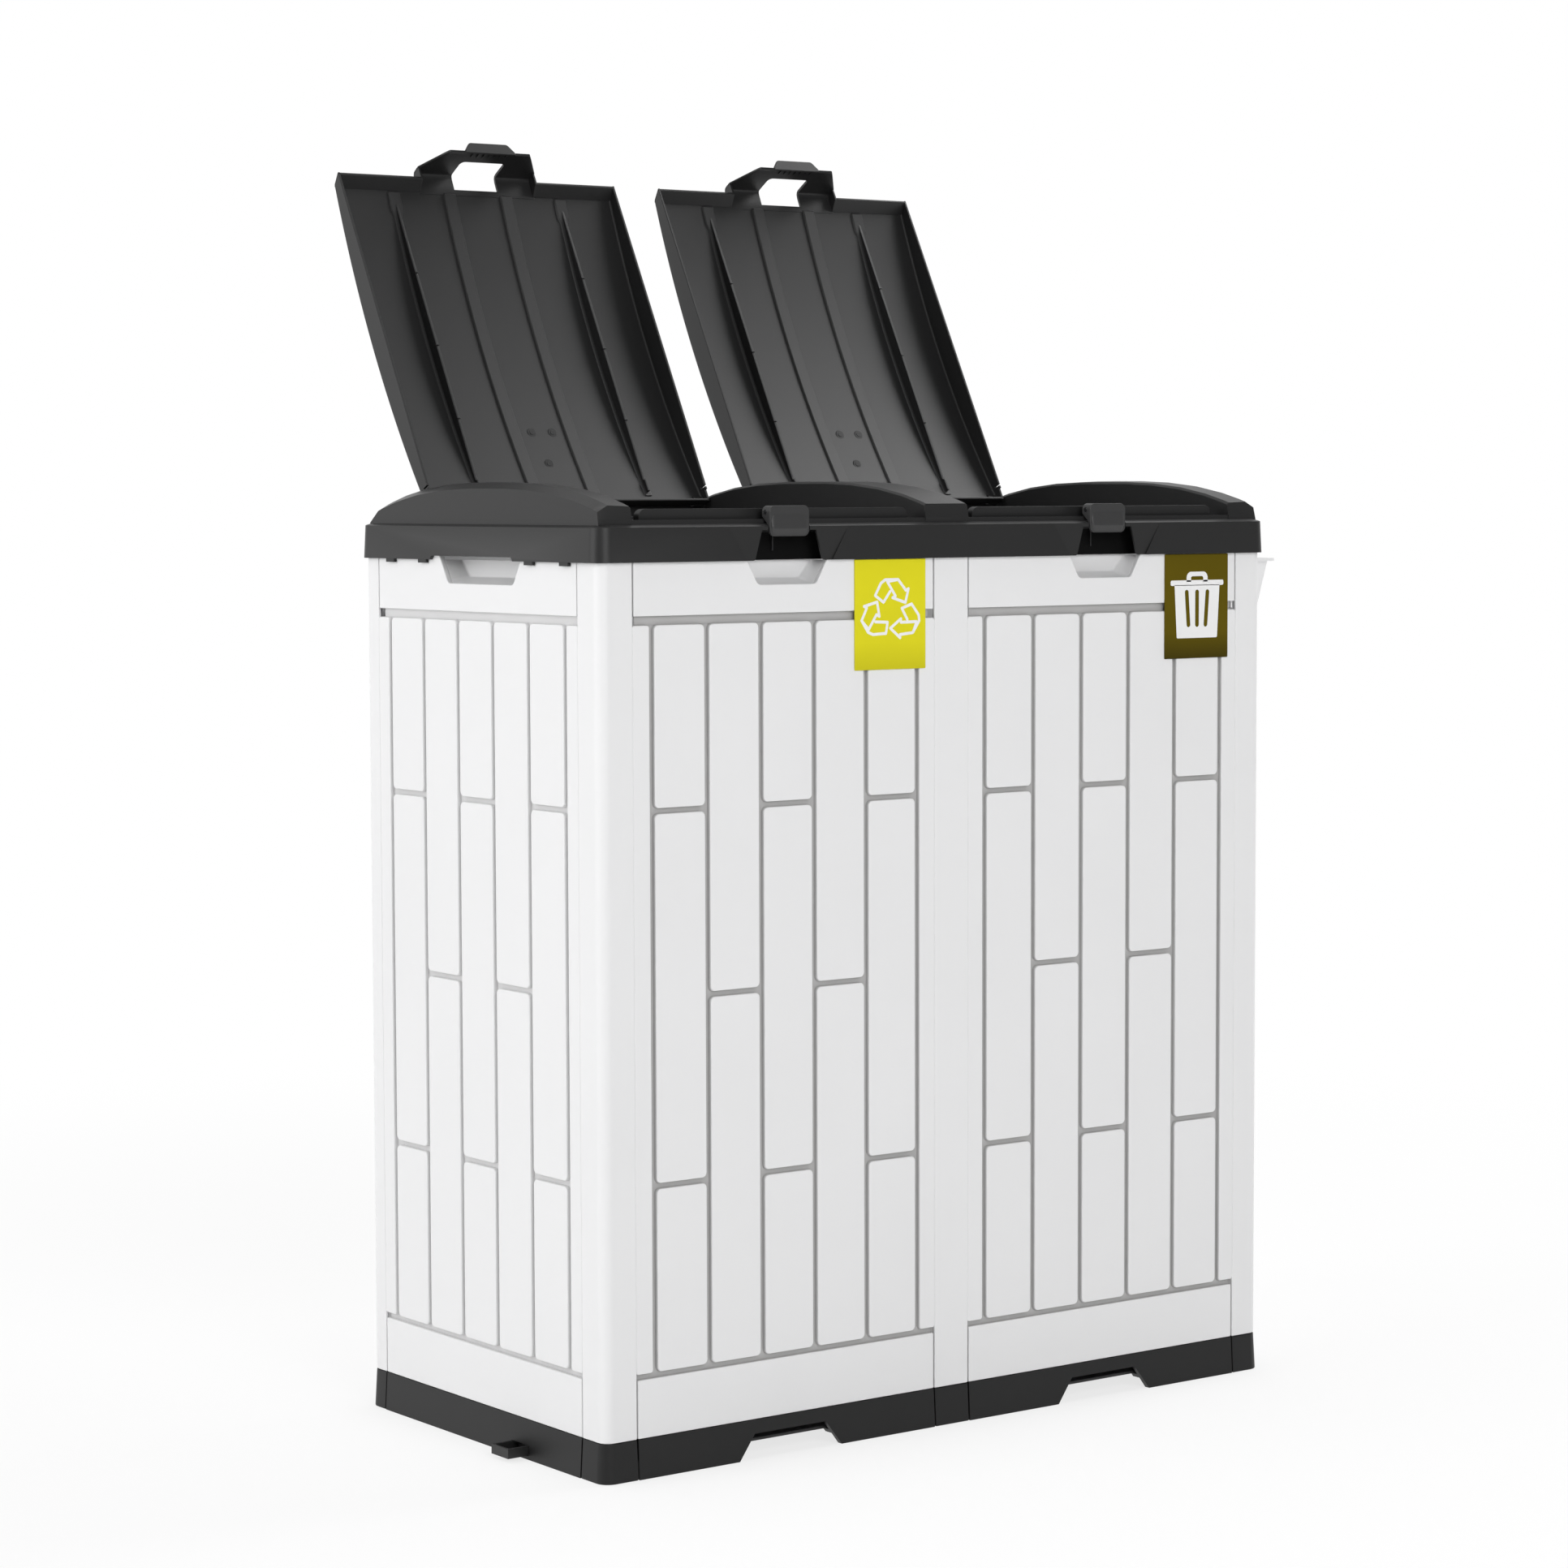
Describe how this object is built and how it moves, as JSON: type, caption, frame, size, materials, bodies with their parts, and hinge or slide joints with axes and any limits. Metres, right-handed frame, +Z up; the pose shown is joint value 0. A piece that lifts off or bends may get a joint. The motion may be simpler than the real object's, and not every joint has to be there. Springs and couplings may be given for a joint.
{
  "type": "double recycling bin",
  "caption": "Two-bay outdoor recycling bin with plank-effect walls, two hinged lids, latches and bag rings.",
  "frame": {"origin": "middle of the base's footprint, on the floor", "axes": "+X to the right seen from the front, +Y to the back, +Z up"},
  "size_m": [0.8824, 0.5307, 1.217],
  "materials": {
    "white_resin": "moulded, fine grain, satin",
    "black_resin": "moulded, fine grain, satin",
    "steel_pin": "drawn rod",
    "lime_card": "printed sheet",
    "olive_card": "printed sheet"
  },
  "bodies": {
    "cabinet": {"corner_foot_front_left": "black_resin", "corner_foot_front_right": "black_resin", "corner_foot_back_left": "black_resin", "corner_foot_back_right": "black_resin", "base_rail_front_left": "black_resin", "base_rail_front_right": "black_resin", "base_rail_back_left": "black_resin", "base_rail_back_right": "black_resin", "base_rail_side_left": "black_resin", "base_rail_side_right": "black_resin", "centre_foot_front": "black_resin", "centre_foot_back": "black_resin", "base_centre_beam": "black_resin", "floor_panel_left": "black_resin", "floor_panel_right": "black_resin", "anchor_bracket": "black_resin", "corner_post_front_left": "white_resin", "corner_post_front_right": "white_resin", "corner_post_back_left": "white_resin", "corner_post_back_right": "white_resin", "centre_post_front": "white_resin", "centre_post_back": "white_resin", "front_panel_left": "white_resin", "front_panel_right": "white_resin", "back_panel_left": "white_resin", "back_panel_right": "white_resin", "side_panel_left": "white_resin", "side_panel_right": "white_resin", "front_rail_left": "white_resin", "front_rail_right": "white_resin", "divider": "white_resin", "top_frame": "black_resin", "lid_left_pin_left": "steel_pin", "lid_left_pin_right": "steel_pin", "lid_right_pin_left": "steel_pin", "lid_right_pin_right": "steel_pin", "latch_left_pin": "steel_pin", "latch_right_pin": "steel_pin", "tag_recycling": "lime_card", "tag_waste": "olive_card"},
    "lid_left": {"lid_left": "black_resin"},
    "latch_left": {"latch_left": "black_resin"},
    "bag_ring_left": {"bag_ring_left": "black_resin"},
    "lid_right": {"lid_right": "black_resin"},
    "latch_right": {"latch_right": "black_resin"},
    "bag_ring_right": {"bag_ring_right": "black_resin"},
    "side_caddy": {"side_caddy": "white_resin"}
  },
  "joints": [
    {"name": "lid_left_hinge", "type": "hinge", "parent": "cabinet", "child": "lid_left", "pos_m": [-0.1885, 0.159, 0.8633], "axis": [1, 0, 0], "range_deg": [0, 117.7]},
    {"name": "lid_right_hinge", "type": "hinge", "parent": "cabinet", "child": "lid_right", "pos_m": [0.1885, 0.159, 0.8633], "axis": [1, 0, 0], "range_deg": [0, 117.7]},
    {"name": "latch_left_pivot", "type": "hinge", "parent": "cabinet", "child": "latch_left", "pos_m": [-0.1885, -0.195, 0.855], "axis": [1, 0, 0], "range_deg": [-75, 0]},
    {"name": "latch_right_pivot", "type": "hinge", "parent": "cabinet", "child": "latch_right", "pos_m": [0.1885, -0.195, 0.855], "axis": [1, 0, 0], "range_deg": [-75, 0]},
    {"name": "bag_ring_left_pivot", "type": "hinge", "parent": "cabinet", "child": "bag_ring_left", "pos_m": [-0.1885, 0.14, 0.84505], "axis": [1, 0, 0], "range_deg": [-80, 0]},
    {"name": "bag_ring_right_pivot", "type": "hinge", "parent": "cabinet", "child": "bag_ring_right", "pos_m": [0.1885, 0.14, 0.84505], "axis": [1, 0, 0], "range_deg": [-80, 0]},
    {"name": "side_caddy_pull", "type": "slide", "parent": "cabinet", "child": "side_caddy", "axis": [1, 0, 0], "range_m": [0, 0.12]}
  ]
}
